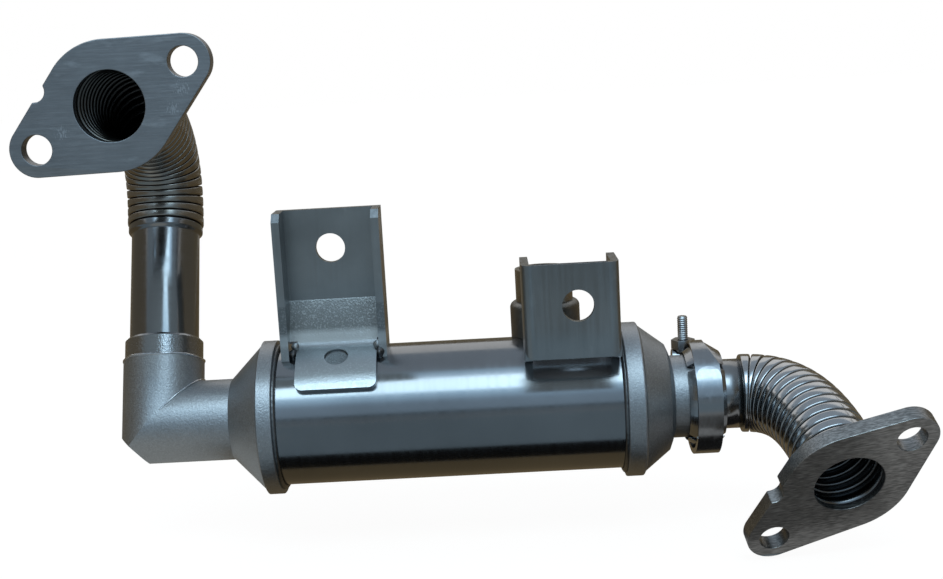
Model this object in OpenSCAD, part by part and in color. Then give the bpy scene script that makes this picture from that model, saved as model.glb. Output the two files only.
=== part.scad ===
// EGR cooler: a shell-and-tube gas cooler with a cast elbow inlet, two flanged bellows and a V-band joint.
// +X runs along the shell from the gas inlet to the gas outlet, +Z is up, and the inlet flange faces -Y.
// The origin is the centre of the inlet flange's bore, on its mating face.

/* [Shell and tube bundle] */
// Outside diameter of the shell
shell_od = 44; // [42:0.5:50]
// Wall of the shell
shell_wall = 1.5; // [1:0.1:2]
// Length of the shell, end to end
shell_len = 117.8; // [105:0.1:160]
// Distance from the inlet pipe's axis to the near end of the shell
shell_start = 35.2; // [35:0.1:45]
// Outside diameter of a gas tube
tube_od = 6; // [5:0.1:6.4]
// Wall of a gas tube
tube_wall = 0.5; // [0.3:0.1:0.8]
// Distance between neighbouring gas tubes
tube_pitch = 7.6; // [7.2:0.1:7.8]
// Rings of gas tubes around the middle one
tube_rings = 2; // [1:1:2]
// Thickness of a tube sheet
sheet_t = 2.5; // [1.5:0.1:4]
// Thickness of a baffle
baffle_t = 1; // [0.6:0.1:2]
// Number of baffles
baffles = 2; // [1:1:4]
// Height of the window that each baffle leaves open
baffle_window = 9; // [5:0.5:12]

/* [Headers] */
// Depth of the socket in which each end of the shell sits
socket_depth = 3.7; // [2:0.1:5]
// Wall of a header's rim around the shell
rim_wall = 2.8; // [2:0.1:4]
// Length of the inlet header's rim
inlet_rim_len = 5.1; // [4.8:0.1:8]
// Length of the outlet header's rim
outlet_rim_len = 6; // [5:0.1:8]
// Step from a rim down to the cone
rim_step = 1.2; // [0.5:0.1:1.8]
// Length of the inlet cone
inlet_cone_len = 10.3; // [8:0.1:14]
// Length of the outlet cone
outlet_cone_len = 9.2; // [7:0.1:14]
// Wall of the elbow around the pipe
elbow_wall = 1.85; // [1.5:0.05:3]
// Width of the chamfer on the outer corner of the elbow
elbow_chamfer = 8.5; // [4:0.5:10]
// Height of the collar's top above the shell axis, along the pipe
collar_top = 27.5; // [26:0.5:34]
// Length of the turned band at the top of the collar
collar_band = 7; // [4:0.5:9]
// Depth of the socket for the pipe
pipe_socket = 11; // [6:0.5:12]
// Wall of the outlet spigot
spigot_wall = 2.6; // [2:0.1:3]
// Length of the outlet spigot, from the cone to the joint face
spigot_len = 10.4; // [9:0.1:16]

/* [Pipes and bellows] */
// Outside diameter of the pipe and of the bellows' cuffs
pipe_od = 22.4; // [20:0.1:24]
// Wall of the pipe
pipe_wall = 1; // [0.8:0.1:1.5]
// Length of the pipe that stands out of the collar
pipe_rise = 39.2; // [30:0.1:50]
// Length of the bell at the top of the pipe
bell_len = 2; // [1.5:0.5:6]
// Angle at which the pipe leans back from vertical
pipe_lean = 25.4; // [10:0.1:35]
// Outside diameter of the bellows' crests
crest_od = 25.2; // [24.8:0.1:28]
// Outside diameter of the bellows' roots
root_od = 22; // [21:0.1:23]
// Wall of the bellows
bellows_wall = 0.5; // [0.3:0.1:0.8]
// Distance between crests
pitch = 3.4; // [3:0.1:5]
// Facets around a bellows
bellows_sides = 22; // [16:2:30]
// Length of the outlet cuff between the V-flange's face and the first root
outlet_cuff = 11.2; // [9:0.1:20]

/* [Flanges] */
// Thickness of both flanges
flange_t = 5.2; // [4.6:0.1:8]
// Distance between the two bolt holes of a flange
bolt_span = 51; // [48:0.5:60]
// Diameter of the bolt holes
bolt_hole = 9; // [8:0.1:11]
// Diameter of the bore
bore_d = 21.1; // [18:0.1:22]
// Diameter of the round middle of a flange
flange_disc = 39; // [36:0.5:44]
// Diameter of the lobe around each bolt hole
flange_lobe = 16.4; // [15:0.1:20]
// Depth to which a bellows' cuff enters its flange
flange_socket = 2.7; // [2:0.1:3.5]
// Radius of the notch in a flange's edge
notch_r = 3.2; // [1.5:0.1:4]
// Height of the inlet bore above the shell axis
inlet_rise = 103.8; // [98:0.1:115]
// Distance of the inlet flange's face in front of the shell axis
inlet_reach = 28.8; // [20:0.1:40]
// Angle of the inlet flange's bolt line
inlet_clock = 27.4; // [0:0.1:60]
// Distance of the outlet bore from the inlet pipe's axis, along the shell
outlet_x = 210.5; // [208:0.1:225]
// Distance of the outlet bore in front of the shell axis
outlet_reach = 47.9; // [44:0.1:60]
// Distance of the outlet bore below the shell axis
outlet_drop = 16.7; // [10:0.1:25]
// Angle through which the outlet turns away from the shell axis
outlet_turn = 84; // [75:0.5:90]
// Angle of the outlet flange's face below horizontal
outlet_dip = 27.9; // [15:0.1:35]
// Angle of the outlet flange's bolt line
outlet_clock = 42.4; // [20:0.1:60]
// Offset of the outlet bore from the middle of its bolt line
outlet_bore_shift = 2.8; // [0:0.1:3]

/* [Clamp] */
// Outside diameter of the two V-flanges
vflange_od = 31.6; // [30:0.1:34]
// Width of a V-flange's rim
vflange_rim = 1.1; // [0.8:0.1:2]
// Thickness of the gasket between the V-flanges
gasket_t = 0.8; // [0.5:0.1:1.5]
// Thickness of the V segments
segment_t = 1.1; // [0.8:0.1:1.3]
// Thickness of the strap
strap_t = 0.9; // [0.6:0.1:1.2]
// Width of the strap
strap_w = 7.8; // [7:0.1:10]
// Angle above the front at which the strap's folded tail ends
tail_end = 43; // [20:1:60]
// Diameter of the T-bolt
tbolt_d = 3.5; // [3:0.1:3.8]
// Height of the T-bolt's tip above the shell axis
tbolt_tip = 22.7; // [20:0.1:30]
// Height of the trunnion above the shell axis
trunnion_z = 8.4; // [8:0.1:10]
// Diameter of the trunnion
trunnion_d = 4.3; // [4:0.1:5]
// Height above the shell axis from which the strap narrows towards its eye
strap_taper_z = 13; // [12.6:0.1:16]
// Distance of the T-bolt from the middle of the strap, towards the header
tbolt_shift = 3.2; // [0:0.1:3.6]

/* [Brackets] */
// Thickness of the bracket sheet
bracket_t = 2.5; // [1.5:0.1:3]
// Distance of the tab bracket from the inlet pipe's axis
tab_x = 58.2; // [54:0.1:66]
// Width of the tab bracket over its lips
tab_plate_w = 33.6; // [28:0.1:40]
// Width of its tab on the shell
tab_w = 25.4; // [20:0.1:27]
// Offset of the tab from the middle of its bracket
tab_shift = 0.9; // [0:0.1:1.5]
// Radius of the tab's lower corners
tab_corner = 2.4; // [1:0.1:5]
// Height of the tab bracket above the shell axis
tab_top = 66.9; // [62:0.1:80]
// Distance of the tab bracket's plate behind the shell axis
tab_back = 2; // [0:0.1:5]
// Depth of the tab bracket's lips in front of its plate
lip_depth = 11; // [6:0.1:12]
// Height of the tab bracket's hole above the shell axis
tab_hole_z = 54.2; // [50:0.1:56]
// Diameter of the tab bracket's hole
tab_hole = 9.4; // [8:0.1:11]
// Radius of the bend between the tab and the plate
tab_bend = 5; // [3:0.1:6]
// Diameter of the plug weld
plug_d = 7.4; // [5:0.1:8]
// Distance of the channel bracket's side from the outlet header's rim
channel_gap = 1.4; // [0.5:0.1:4]
// Width of the channel bracket
channel_w = 29.7; // [28:0.1:34]
// Depth of the channel bracket's sides
channel_depth = 19; // [17:0.1:20]
// Distance of the channel bracket's face in front of the shell axis
channel_reach = 26; // [25.5:0.1:28]
// Height of the channel bracket above the shell axis
channel_top = 49.3; // [46:0.1:60]
// Height of the channel bracket's lower edge above the shell axis
channel_foot = 20.2; // [18:0.1:21]
// Height of the channel bracket's hole above the shell axis
channel_hole_z = 36.4; // [33:0.1:39]
// Offset of the channel bracket's hole from its middle
channel_hole_shift = 1.9; // [0:0.1:3]
// Diameter of the channel bracket's hole
channel_hole = 9.8; // [8:0.1:12]
// Radius of the lower corners of the channel bracket's face
channel_corner = 3; // [1:0.1:5]
// Outer radius of the channel bracket's bends
channel_bend = 3.5; // [3.2:0.1:5]

/* [Coolant ports] */
// Outside diameter of the coolant nipples
nipple_od = 18.4; // [16:0.1:19.4]
// Wall of the coolant nipples
nipple_wall = 1.4; // [1:0.1:2]
// Wall of a boss around its nipple
boss_wall = 2; // [1.2:0.1:2.4]
// Height of a boss's top from the shell axis
boss_top = 33; // [31:0.1:36]
// Height of a nipple's end from the shell axis
nipple_top = 43.5; // [42:0.1:60]
// Distance of the coolant outlet's axis from the outlet header's rim
coolant_out_gap = 23.3; // [22.3:0.1:25.3]
// Distance of the coolant outlet's axis behind the shell axis
coolant_out_y = 6; // [6:0.1:7]
// Distance of the coolant inlet from the inlet pipe's axis
coolant_in_x = 58; // [56:0.1:70]

/* [Hidden] */
$fn = 64;
// Clearance left at each brazed or welded joint
fit = 0.05;
// Length by which a cut runs past the surface that it opens
past = 1;
// Length of a cut that passes right through the part
through = 200;
// Share of a radius at which a tangent starts, so that it crosses its circle
inside = 0.999;
// Angle by which neighbouring arcs overlap
lap = 0.5;

// Shell and bundle
shell_r = shell_od / 2;
shell_ir = shell_r - shell_wall;
shell_end = shell_start + shell_len;
tube_r = tube_od / 2;
hex_spots = [for (i = [-tube_rings:tube_rings], j = [-tube_rings:tube_rings])
    if (abs(i + j) <= tube_rings) tube_pitch * [i + j / 2, j * sqrt(3) / 2]];

// Headers
rim_r = shell_r + fit + rim_wall;
inlet_rim_face = shell_start + socket_depth;
inlet_rim_back = inlet_rim_face - inlet_rim_len;
inlet_cone_back = inlet_rim_back - inlet_cone_len;
outlet_rim_face = shell_end - socket_depth;
outlet_rim_back = outlet_rim_face + outlet_rim_len;
outlet_cone_back = outlet_rim_back + outlet_cone_len;
pipe_r = pipe_od / 2;
duct_r = pipe_r - pipe_wall;
elbow_r = pipe_r + fit + elbow_wall;
// Depth to which the collar is turned down, and the bevel on its edge
collar_cut = 0.45;
collar_chamfer = 0.8;
collar_r = elbow_r - collar_cut;
// Distance along the axis between the cone's outer and inner ends
cone_wall = 1.4;
// Outer radius of a seam weld and its length along the shell
weld_r = rim_r - rim_wall / 3;
weld_leg = rim_wall / 2;
spigot_bore = pipe_r - bellows_wall;
spigot_r = spigot_bore + spigot_wall;
// Distances out from the spigot and along from the cone's end of the points that round the cone off
cone_round = [[4, -1], [1.6, 0], [0, 0.4]];
joint_x = outlet_cone_back + spigot_len;

// Pipe and bellows
pipe_dir = [0, sin(pipe_lean), cos(pipe_lean)];
pipe_foot = collar_top - pipe_socket;
pipe_end = collar_top + pipe_rise;
bell_r = pipe_r + fit + pipe_wall;
// Length over which the pipe widens to its bell
bell_taper = 1;
crest_r = crest_od / 2;
root_r = root_od / 2;
// Shares of the pitch at which a convolution's root lies and its crest starts and ends
root_at = 0.12;
crest_from = 0.36;
crest_to = 0.76;
// Lengths over which each bellows leaves its two ends before it bends
inlet_lead = [27, 47.8];
outlet_lead = [15, 28.8];

// Flanges
// Angle of the notch from the bolt line, and its depth in the round middle
notch_turn = 138.8;
notch_depth = 0.13;
inlet_face = [0, -inlet_reach, inlet_rise];
outlet_dir = [cos(outlet_turn), -sin(outlet_turn) * cos(outlet_dip), -sin(outlet_turn) * sin(outlet_dip)];
outlet_face = [outlet_x, -outlet_reach, -outlet_drop];

// Joint and clamp
gasket_end = joint_x + gasket_t;
band_x = joint_x + gasket_t / 2;
vflange_r = vflange_od / 2;
ring_bore = pipe_r + fit;
bevel = vflange_r - spigot_r;
segment_r = vflange_r + fit + segment_t;
strap_r = segment_r + fit;
strap_outer = strap_r + strap_t;
tail_r = strap_r + strap_t / 2;
tail_outer = strap_outer + strap_t;
tongue = tail_end - asin(strap_w / 2 / tail_outer);
// Angle kept free of segments on each side of the T-bolt, number of segments and angle between them
segment_gap = 32;
segment_count = 3;
segment_space = 8;
segment_span = (360 - 2 * segment_gap - (segment_count - 1) * segment_space) / segment_count;
trunnion_r = trunnion_d / 2;
eye_ir = trunnion_r + fit;
eye_r = eye_ir + strap_t;
tbolt_y = sqrt(pow(strap_r + eye_r, 2) - pow(trunnion_z, 2));
eye_angle = atan2(trunnion_z, tbolt_y);
tbolt_x = band_x - tbolt_shift;
// Wall of the trunnion's sleeve and its height over the eye, and the nut's height and width
sleeve_wall = 0.9;
sleeve_rise = 0.15;
nut_h = 3.2;
nut_across = 7;
sleeve_r = tbolt_d / 2 + sleeve_wall;
sleeve_top = trunnion_z + eye_r + sleeve_rise;
// Angle at which the strap narrows
strap_taper = 34;

// Tab bracket
tab_ir = shell_r + fit;
tab_r = tab_ir + bracket_t;
// Angles above the front between which the tab lies on the shell, and at which its plug weld sits
tab_low = 33;
tab_high = 72;
plug_angle = 62;
// Direction of the sloping part between the tab and the plate
slope_dir = [0.49, 0.872];
tab_dir = [sin(tab_high), cos(tab_high)];
bend_mid = tab_r * [-cos(tab_high), sin(tab_high)] + tab_bend * [-tab_dir[1], tab_dir[0]];
slope_face = bend_mid + tab_bend * [slope_dir[1], -slope_dir[0]];
slope_rear = bend_mid + (tab_bend + bracket_t) * [slope_dir[1], -slope_dir[0]];
plate_rear = tab_back + bracket_t;
knee_face = slope_face + slope_dir * (tab_back - slope_face[0]) / slope_dir[0];
knee_rear = slope_rear + slope_dir * (plate_rear - slope_rear[0]) / slope_dir[0];
lip_front = tab_back - lip_depth;

// Channel bracket: angle at which its lower edges fall towards the shell, and its middle
channel_rake = 15;
channel_x = outlet_rim_face - channel_gap - channel_w / 2;

// Coolant ports
nipple_r = nipple_od / 2;
nipple_bore = nipple_r - nipple_wall;
// Depth to which a nipple is turned down inside its boss
nipple_step = 0.3;
shank_r = nipple_r - nipple_step;
coolant_out_x = outlet_rim_face - coolant_out_gap;
boss_r = nipple_r + fit + boss_wall;
boss_round = boss_wall;

TUBES = [for (i = [1:len(hex_spots)]) str("gas_tube_", i)];
BAFFLES = [for (i = [1:baffles]) str("baffle_", i)];
SEGMENTS = [for (i = [1:segment_count]) str("clamp_v_segment_", i)];

// Points along a cubic curve with control points p
function curve(p, t) = pow(1 - t, 3) * p[0] + 3 * pow(1 - t, 2) * t * p[1]
    + 3 * (1 - t) * t * t * p[2] + pow(t, 3) * p[3];
function unit(v) = v / norm(v);
function curve_dir(p, t) = unit(pow(1 - t, 2) * (p[1] - p[0]) + 2 * (1 - t) * t * (p[2] - p[1])
    + t * t * (p[3] - p[2]));
// Table that turns a distance along the curve into its parameter
function distance_table(p, n = 200) = [for (i = 0, s = 0; i <= n;
    s = s + norm(curve(p, (i + 1) / n) - curve(p, i / n)), i = i + 1) [s, i / n]];
function curve_len(table) = table[len(table) - 1][0];
// Place and heading at a distance along the curve, which runs on straight past both ends
function place_at(p, table, s) = s < 0 ? p[0] + s * unit(p[1] - p[0])
    : s > curve_len(table) ? p[3] + (s - curve_len(table)) * unit(p[3] - p[2])
    : curve(p, lookup(s, table));
function heading_at(p, table, s) = curve_dir(p, lookup(s, table));
// One ring of points of radius r, square to the curve
function ring_at(p, table, side, s, r) = let (
    d = heading_at(p, table, s), c = unit(side - (side * d) * d), b = cross(d, c), o = place_at(p, table, s))
    [for (j = [0:bellows_sides - 1]) let (a = 360 * j / bellows_sides) o + r * (cos(a) * b + sin(a) * c)];
// Distance and outer radius of each ring: a plain cuff, the crests and roots, a plain cuff
function bellows_rings(length, cuff_0, cuff_1) = let (
    count = round(length / pitch), step = length / count) concat(
    [[-cuff_0, pipe_r], [0, pipe_r]],
    [for (i = [0:count - 1], k = [[root_at, root_r], [crest_from, crest_r], [crest_to, crest_r]])
        [(i + k[0]) * step, k[1]]],
    [[length, pipe_r], [length + cuff_1, pipe_r]]);

module shell_frame() translate([0, inlet_reach, -inlet_rise]) children();
module pipe_frame() rotate([-pipe_lean, 0, 0]) children();
module along_x(x) translate([x, 0, 0]) rotate([0, 90, 0]) children();
// Draws a (y, z) outline with thickness w, centred on x
module slab(x, w) translate([x - w / 2, 0, 0]) rotate([90, 0, 90]) linear_extrude(w) children();
module tube(r, ir, h) difference() {
    cylinder(r = r, h = h);
    translate([0, 0, -past]) cylinder(r = ir, h = h + 2 * past);
}
module turned(x, points) along_x(x) rotate_extrude() polygon(points);

// Corrugated tube along a curve, with plain cuffs that run on past its ends
module bellows(p, side, cuff_0, cuff_1) {
    table = distance_table(p);
    rings = bellows_rings(curve_len(table), cuff_0, cuff_1);
    count = len(rings);
    n = bellows_sides;
    outer = [for (k = rings) each ring_at(p, table, side, k[0], k[1])];
    inner = [for (k = rings) each ring_at(p, table, side, k[0], k[1] - bellows_wall)];
    m = count * n;
    skin = [for (i = [0:count - 2], j = [0:n - 1]) let (
        a = i * n + j, b = i * n + (j + 1) % n, c = b + n, d = a + n)
        each [[a, d, c], [a, c, b], [m + a, m + c, m + d], [m + a, m + b, m + c]]];
    ends = [for (j = [0:n - 1]) let (a = j, b = (j + 1) % n, e = (count - 1) * n)
        each [[a, b, m + b], [a, m + b, m + a], [e + a, m + e + b, e + b], [e + a, m + e + a, m + e + b]]];
    polyhedron(points = concat(outer, inner), faces = concat(skin, ends), convexity = 20);
}

// Plate of a two-bolt flange: a disc and two lobes joined by their common tangents
module flange_plate(shift) {
    lobe_r = flange_lobe / 2;
    disc_r = flange_disc / 2;
    translate([shift, 0, 0]) cylinder(r = disc_r, h = flange_t);
    for (s = [-1, 1]) {
        reach = bolt_span / 2 - s * shift;
        tilt = asin((disc_r - lobe_r) / reach);
        lobe_x = s * (bolt_span / 2 + inside * lobe_r * sin(tilt));
        disc_x = shift + s * inside * disc_r * sin(tilt);
        lobe_y = inside * lobe_r * cos(tilt);
        disc_y = inside * disc_r * cos(tilt);
        translate([s * bolt_span / 2, 0, 0]) cylinder(r = lobe_r, h = flange_t);
        linear_extrude(flange_t)
            polygon([[lobe_x, -lobe_y], [lobe_x, lobe_y], [disc_x, disc_y], [disc_x, -disc_y]]);
    }
}
// Flange with its mating face at z = 0, its body below and its bolt line along x
module flange(shift) {
    disc_r = flange_disc / 2;
    difference() {
        translate([0, 0, -flange_t]) flange_plate(shift);
        translate([shift, 0, -flange_t - past]) cylinder(d = bore_d, h = flange_t + 2 * past);
        translate([shift, 0, -flange_t - past]) cylinder(r = pipe_r + fit, h = flange_socket + past);
        for (s = [-1, 1])
            translate([s * bolt_span / 2, 0, -flange_t - past])
                cylinder(d = bolt_hole, h = flange_t + 2 * past);
        translate([shift, 0, -flange_t - past]) rotate([0, 0, notch_turn])
            translate([disc_r + notch_r - notch_depth, 0, 0]) cylinder(r = notch_r, h = flange_t + 2 * past);
    }
}

module inlet_flange() color("slategray") shell_frame()
    translate(inlet_face) rotate([90, 0, 0]) rotate([0, 0, inlet_clock]) flange(0);

module inlet_bellows() color("dimgray") shell_frame() {
    start = pipe_end * pipe_dir;
    finish = inlet_face + [0, flange_t, 0];
    bellows([start, start + inlet_lead[0] * pipe_dir, finish + [0, inlet_lead[1], 0], finish], [1, 0, 0],
        bell_len - fit, flange_socket - fit);
}

module inlet_pipe() color("silver") shell_frame() pipe_frame() difference() {
    union() {
        translate([0, 0, pipe_foot]) cylinder(r = pipe_r, h = pipe_end - pipe_foot);
        translate([0, 0, pipe_end - bell_len]) cylinder(r = bell_r, h = bell_len);
        translate([0, 0, pipe_end - bell_len - bell_taper])
            cylinder(r1 = pipe_r, r2 = bell_r, h = bell_taper);
    }
    translate([0, 0, pipe_foot - past]) cylinder(r = duct_r, h = pipe_end - pipe_foot + 2 * past);
    translate([0, 0, pipe_end - bell_len]) cylinder(r = pipe_r + fit, h = bell_len + past);
}

// The part of a leg of the elbow on its own side of the mitre
module mitred(turn) intersection() {
    children();
    rotate([0, turn, 0]) translate([0, -through / 2, -through / 2]) cube(through);
}
module inlet_header() color("lightsteelblue") shell_frame() pipe_frame() difference() {
    union() {
        difference() {
            union() {
                mitred(45) along_x(-2 * elbow_r) cylinder(r = elbow_r, h = inlet_cone_back + 2 * elbow_r);
                mitred(-135) translate([0, 0, -2 * elbow_r])
                    cylinder(r = elbow_r, h = collar_top - collar_band + 2 * elbow_r);
            }
            rotate([0, -45, 0]) translate([-through - sqrt(2) * elbow_r + elbow_chamfer / sqrt(2),
                -through / 2, -through / 2]) cube(through);
        }
        translate([0, 0, pipe_foot]) cylinder(r = collar_r, h = pipe_socket - collar_chamfer);
        translate([0, 0, collar_top - collar_chamfer])
            cylinder(r1 = collar_r, r2 = collar_r - collar_chamfer, h = collar_chamfer);
        turned(inlet_cone_back - past, [[0, 0], [elbow_r, 0], [elbow_r, past],
            [rim_r - rim_step, past + inlet_cone_len], [rim_r, past + inlet_cone_len + rim_step / 2],
            [rim_r, past + inlet_cone_len + inlet_rim_len], [0, past + inlet_cone_len + inlet_rim_len]]);
    }
    sphere(r = duct_r);
    cylinder(r = duct_r, h = collar_top + past);
    translate([0, 0, pipe_foot]) cylinder(r = pipe_r + fit, h = pipe_socket + past);
    along_x(0) cylinder(r = duct_r, h = shell_start);
    along_x(inlet_cone_back + cone_wall)
        cylinder(r1 = duct_r, r2 = shell_ir, h = shell_start - inlet_cone_back - cone_wall);
    along_x(shell_start) cylinder(r = shell_r + fit, h = socket_depth + past);
}

module seam_weld(x, turn) translate([x, 0, 0]) rotate([0, turn, 0])
    rotate_extrude() polygon([[shell_r + fit, 0], [weld_r, 0], [shell_r + fit, weld_leg]]);
module inlet_seam_weld() color("gray") shell_frame() seam_weld(inlet_rim_face, 90);
module outlet_seam_weld() color("gray") shell_frame() seam_weld(outlet_rim_face, -90);

module coolant_outlet_place() translate([coolant_out_x, coolant_out_y, 0]) children();
module coolant_inlet_place() translate([coolant_in_x, 0, 0]) rotate([-90, 0, 0]) children();
module shell() color("silver") shell_frame() difference() {
    along_x(shell_start) tube(shell_r, shell_ir, shell_len);
    coolant_outlet_place() cylinder(r = shank_r + fit, h = 2 * shell_r);
    coolant_inlet_place() cylinder(r = shank_r + fit, h = 2 * shell_r);
}

module bundle_holes(x, t) for (spot = hex_spots)
    translate([0, spot[0], spot[1]]) along_x(x - past) cylinder(r = tube_r + fit, h = t + 2 * past);
module tube_sheet(x) difference() {
    along_x(x) cylinder(r = shell_ir - fit, h = sheet_t);
    bundle_holes(x, sheet_t);
}
module inlet_tube_sheet() color("darkgray") shell_frame() tube_sheet(shell_start);
module outlet_tube_sheet() color("darkgray") shell_frame() tube_sheet(shell_end - sheet_t);
module gas_tube(i) color("lightgray") shell_frame()
    translate([0, hex_spots[i][0], hex_spots[i][1]]) along_x(shell_start)
        tube(tube_r, tube_r - tube_wall, shell_len);
module baffle(i) color("darkgray") shell_frame() difference() {
    x = shell_start + shell_len * i / (baffles + 1) - baffle_t / 2;
    up = i % 2 == 0 ? 1 : -1;
    along_x(x) cylinder(r = shell_ir - fit, h = baffle_t);
    bundle_holes(x, baffle_t);
    translate([x - past, -shell_r, up > 0 ? shell_ir - baffle_window : -shell_r - past])
        cube([baffle_t + 2 * past, shell_od, shell_wall + baffle_window + past]);
}

// Port built upright: a boss that saddles the shell, and a nipple in it
module boss() difference() {
    union() {
        cylinder(r = boss_r, h = boss_top - boss_round);
        translate([0, 0, boss_top - boss_round]) rotate_extrude()
            translate([boss_r - boss_round, 0]) circle(boss_round, $fn = 24);
    }
    translate([0, 0, -past]) cylinder(r = shank_r + fit, h = boss_top + 2 * past);
}
module nipple() difference() {
    union() {
        cylinder(r = shank_r, h = nipple_top - past);
        translate([0, 0, boss_top + fit]) cylinder(r = nipple_r, h = nipple_top - boss_top - fit);
    }
    translate([0, 0, -past]) cylinder(r = nipple_bore, h = nipple_top + 2 * past);
}
module coolant_outlet_boss() color("tan") shell_frame() difference() {
    coolant_outlet_place() boss();
    along_x(0) cylinder(r = shell_r + fit, h = through);
}
module coolant_outlet_nipple() color("silver") shell_frame() difference() {
    coolant_outlet_place() nipple();
    along_x(0) cylinder(r = shell_ir, h = through);
}
module coolant_inlet_boss() color("tan") shell_frame() difference() {
    coolant_inlet_place() boss();
    along_x(0) cylinder(r = shell_r + fit, h = through);
}
module coolant_inlet_nipple() color("silver") shell_frame() difference() {
    coolant_inlet_place() nipple();
    along_x(0) cylinder(r = shell_ir, h = through);
}

// Wedge of a plane between two angles, wide enough to cut an arc of the given radius
module wedge(a0, a1, r) polygon([[0, 0], 2 * r * [cos(a0), sin(a0)],
    2 * r * [cos((a0 + a1) / 2), sin((a0 + a1) / 2)], 2 * r * [cos(a1), sin(a1)]]);
module arc_strip(r0, r1, a0, a1) intersection() {
    difference() {
        circle(r1);
        circle(r0);
    }
    wedge(a0, a1, r1);
}
// Waste outside a rounded lower corner that lies at the origin
module corner_cut(s, r, h) translate([-s * r, r]) linear_extrude(h) difference() {
    translate([s > 0 ? 0 : -2 * r, -2 * r]) square(2 * r);
    circle(r);
}
module plug_place() translate([tab_x + tab_shift, 0, 0]) rotate([90 - plug_angle, 0, 0]) children();
module tab_bracket() color("lightslategray") shell_frame() difference() {
    union() {
        slab(tab_x + tab_shift, tab_w) arc_strip(tab_ir, tab_r, 180 - tab_high - lap, 180 - tab_low);
        slab(tab_x + tab_shift, tab_w) translate(bend_mid)
            arc_strip(tab_bend, tab_bend + bracket_t, -tab_high, atan2(-slope_dir[0], slope_dir[1]) + lap);
        slab(tab_x, tab_plate_w)
            polygon([slope_face, knee_face, [tab_back, tab_top], [plate_rear, tab_top], knee_rear,
                slope_rear]);
        difference() {
            for (s = [-1, 1])
                slab(tab_x + s * (tab_plate_w - bracket_t) / 2, bracket_t)
                    polygon([[lip_front, 0], [lip_front, tab_top - bracket_t],
                        [lip_front + bracket_t, tab_top], [plate_rear, tab_top], [plate_rear, 0]]);
            along_x(0) cylinder(r = tab_ir, h = through);
        }
    }
    for (s = [-1, 1])
        translate([tab_x + tab_shift + s * tab_w / 2, 0, 0]) rotate([90 - tab_low, 0, 0])
            corner_cut(s, tab_corner, 2 * tab_r);
    translate([tab_x, 0, tab_hole_z]) rotate([90, 0, 0]) cylinder(d = tab_hole, h = through, center = true);
    plug_place() cylinder(d = plug_d + 2 * fit, h = through);
}
module bracket_plug_weld() color("silver") shell_frame() difference() {
    plug_place() cylinder(d = plug_d, h = tab_r - bracket_t / 3);
    along_x(0) cylinder(r = tab_ir, h = through);
}

module channel_section() difference() {
    union() {
        translate([-channel_w / 2 + channel_bend, 0]) square([channel_w - 2 * channel_bend, channel_depth]);
        translate([-channel_w / 2, channel_bend]) square([channel_w, channel_depth - channel_bend]);
        for (s = [-1, 1])
            translate([s * (channel_w / 2 - channel_bend), channel_bend]) circle(channel_bend);
    }
    translate([-channel_w / 2 + bracket_t, bracket_t]) square([channel_w - 2 * bracket_t, channel_depth]);
}
module channel_bracket() color("lightslategray") shell_frame() difference() {
    translate([channel_x, -channel_reach, 0]) linear_extrude(channel_top) channel_section();
    translate([0, -channel_reach, channel_foot]) rotate([-channel_rake, 0, 0])
        translate([0, -through / 2, -through]) cube(through);
    along_x(0) cylinder(r = shell_r + fit, h = through);
    along_x(outlet_rim_face - weld_leg - fit) cylinder(r = weld_r + fit, h = through);
    for (s = [-1, 1])
        translate([channel_x + s * channel_w / 2, bracket_t - channel_reach, channel_foot])
            rotate([90, 0, 0]) corner_cut(s, channel_corner, bracket_t + past);
    translate([channel_x + channel_hole_shift, 0, channel_hole_z])
        rotate([90, 0, 0]) cylinder(d = channel_hole, h = through);
}

module outlet_header() color("lightsteelblue") shell_frame() difference() {
    turned(outlet_rim_face, let (cone = outlet_rim_len + outlet_cone_len, face = joint_x - outlet_rim_face) [
        [0, 0], [rim_r, 0], [rim_r, outlet_rim_len - rim_step / 2], [rim_r - rim_step, outlet_rim_len],
        each [for (k = cone_round) [spigot_r + k[0], cone + k[1]]],
        [spigot_r, face - vflange_rim - bevel], [vflange_r, face - vflange_rim],
        [vflange_r, face], [0, face]]);
    along_x(outlet_rim_face - past) cylinder(r = shell_r + fit, h = socket_depth + past);
    along_x(shell_end) cylinder(r1 = shell_ir, r2 = spigot_bore, h = outlet_cone_back - shell_end);
    along_x(shell_end) cylinder(r = spigot_bore, h = joint_x - shell_end + past);
}
module joint_gasket() color("darkgoldenrod") shell_frame()
    along_x(joint_x) tube(vflange_r - vflange_rim, ring_bore, gasket_t);
module outlet_v_flange() color("silver") shell_frame() difference() {
    turned(gasket_end, [[0, 0], [vflange_r, 0], [vflange_r, vflange_rim],
        [vflange_r - bevel, vflange_rim + bevel], [0, vflange_rim + bevel]]);
    along_x(gasket_end - past) cylinder(r = ring_bore, h = vflange_rim + bevel + 2 * past);
}

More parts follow.
